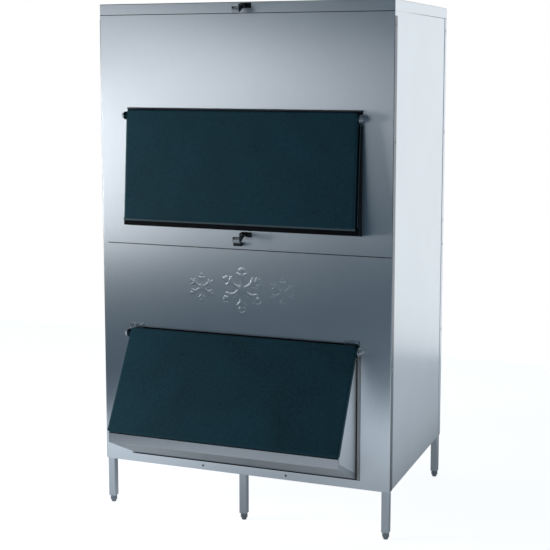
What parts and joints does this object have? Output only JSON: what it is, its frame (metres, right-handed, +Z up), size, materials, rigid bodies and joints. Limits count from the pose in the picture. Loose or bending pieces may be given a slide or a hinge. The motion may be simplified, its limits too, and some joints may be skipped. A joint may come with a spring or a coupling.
{
  "type": "ice storage bin",
  "caption": "Tall stainless steel insulated ice bin on square legs, with two dark top-hung doors, the lower one leaning out over a hopper, and a sprung roller catch above each.",
  "frame": {"origin": "centre of the bounding box at floor level; the lower door's front edge and the back sheet are equally far from it", "axes": "+Z up, -Y towards the front with the doors, +X to the right seen from the front"},
  "size_m": [1.1036, 0.9606, 1.855],
  "materials": {
    "satin_stainless_sheet": "satin stainless sheet",
    "yellow_foam": "rigid foam",
    "liner_stainless": "matt stainless sheet",
    "black_frame_plastic": "moulded black",
    "brushed_stainless": "brushed",
    "black_rubber": "matt",
    "dark_door_plastic": "fine-grained dark blue-grey",
    "door_lining_plastic": "smooth light grey",
    "bright_steel": "bright",
    "black_steel": "black",
    "drain_plastic": "grey"
  },
  "bodies": {
    "cabinet": {"left_side_panel": "satin_stainless_sheet", "right_side_panel": "satin_stainless_sheet", "back_panel": "satin_stainless_sheet", "upper_front_panel": "satin_stainless_sheet", "lower_front_panel": "satin_stainless_sheet", "top_cover": "satin_stainless_sheet", "base_pan": "satin_stainless_sheet", "insulation_foam": "yellow_foam", "left_liner": "liner_stainless", "right_liner": "liner_stainless", "rear_liner": "liner_stainless", "floor_liner": "liner_stainless", "upper_front_liner": "liner_stainless", "lower_front_liner": "liner_stainless", "top_liner": "liner_stainless", "upper_door_frame": "black_frame_plastic", "opening_trim": "black_frame_plastic", "hopper_left_cheek": "brushed_stainless", "hopper_right_cheek": "brushed_stainless", "hopper_tray": "brushed_stainless", "hopper_top_rail": "brushed_stainless", "leg_front_left": "brushed_stainless", "leg_front_middle": "brushed_stainless", "leg_front_right": "brushed_stainless", "leg_rear_left": "brushed_stainless", "leg_rear_middle": "brushed_stainless", "leg_rear_right": "brushed_stainless", "hopper_seal": "black_rubber", "catch_buffer": "black_rubber", "upper_left_hinge_bracket": "bright_steel", "upper_right_hinge_bracket": "bright_steel", "lower_left_hinge_bracket": "bright_steel", "lower_right_hinge_bracket": "bright_steel", "upper_left_pivot_pin": "bright_steel", "upper_right_pivot_pin": "bright_steel", "lower_left_pivot_pin": "bright_steel", "lower_right_pivot_pin": "bright_steel", "mid_catch_pin": "bright_steel", "top_catch_pin": "bright_steel", "mid_catch_spring": "bright_steel", "top_catch_spring": "bright_steel", "mid_catch_bracket": "black_steel", "top_catch_bracket": "black_steel", "drain_fitting": "drain_plastic"},
    "upper_door": {"upper_door_shell": "dark_door_plastic", "upper_door_core": "yellow_foam", "upper_door_lining": "door_lining_plastic"},
    "lower_door": {"lower_door_shell": "dark_door_plastic", "lower_door_core": "yellow_foam", "lower_door_lining": "door_lining_plastic"},
    "mid_catch_lever": {"mid_catch_arm": "black_steel"},
    "top_catch_lever": {"top_catch_arm": "black_steel"},
    "mid_roller": {"mid_catch_roller": "bright_steel"},
    "top_roller": {"top_catch_roller": "bright_steel"},
    "levelling_foot_front_left": {"foot_front_left": "brushed_stainless"},
    "levelling_foot_front_middle": {"foot_front_middle": "brushed_stainless"},
    "levelling_foot_front_right": {"foot_front_right": "brushed_stainless"},
    "levelling_foot_rear_left": {"foot_rear_left": "brushed_stainless"},
    "levelling_foot_rear_middle": {"foot_rear_middle": "brushed_stainless"},
    "levelling_foot_rear_right": {"foot_rear_right": "brushed_stainless"}
  },
  "joints": [
    {"name": "upper_door_hinge", "type": "hinge", "parent": "cabinet", "child": "upper_door", "pos_m": [0, -0.2887, 1.45896], "axis": [-1, 0, 0], "range_deg": [0, 169]},
    {"name": "lower_door_hinge", "type": "hinge", "parent": "cabinet", "child": "lower_door", "pos_m": [0, -0.2887, 0.664], "axis": [-1, 0, 0], "range_deg": [0, 143]},
    {"name": "top_catch_pivot", "type": "hinge", "parent": "cabinet", "child": "top_catch_lever", "pos_m": [0, -0.2767, 1.84096], "axis": [-1, 0, 0], "range_deg": [0, 35], "stiffness_Nm_per_rad": 0.12, "springref_deg": -22.92},
    {"name": "top_roller_spin", "type": "hinge", "parent": "top_catch_lever", "child": "top_roller", "pos_m": [0.0007, -0.3087, 1.82496], "axis": [1, 0, 0], "continuous": true},
    {"name": "mid_catch_pivot", "type": "hinge", "parent": "cabinet", "child": "mid_catch_lever", "pos_m": [0, -0.2767, 1.046], "axis": [-1, 0, 0], "range_deg": [0, 35], "stiffness_Nm_per_rad": 0.12, "springref_deg": -22.92},
    {"name": "mid_roller_spin", "type": "hinge", "parent": "mid_catch_lever", "child": "mid_roller", "pos_m": [0.0007, -0.3087, 1.03], "axis": [1, 0, 0], "continuous": true},
    {"name": "foot_front_left_thread", "type": "hinge", "parent": "cabinet", "child": "levelling_foot_front_left", "pos_m": [-0.533, -0.2492, 0.01], "axis": [0, 0, 1], "continuous": true},
    {"name": "foot_front_middle_thread", "type": "hinge", "parent": "cabinet", "child": "levelling_foot_front_middle", "pos_m": [0, -0.2492, 0.01], "axis": [0, 0, 1], "continuous": true},
    {"name": "foot_front_right_thread", "type": "hinge", "parent": "cabinet", "child": "levelling_foot_front_right", "pos_m": [0.533, -0.2492, 0.01], "axis": [0, 0, 1], "continuous": true},
    {"name": "foot_rear_left_thread", "type": "hinge", "parent": "cabinet", "child": "levelling_foot_rear_left", "pos_m": [-0.533, 0.4648, 0.01], "axis": [0, 0, 1], "continuous": true},
    {"name": "foot_rear_middle_thread", "type": "hinge", "parent": "cabinet", "child": "levelling_foot_rear_middle", "pos_m": [0, 0.4648, 0.01], "axis": [0, 0, 1], "continuous": true},
    {"name": "foot_rear_right_thread", "type": "hinge", "parent": "cabinet", "child": "levelling_foot_rear_right", "pos_m": [0.533, 0.4648, 0.01], "axis": [0, 0, 1], "continuous": true}
  ]
}
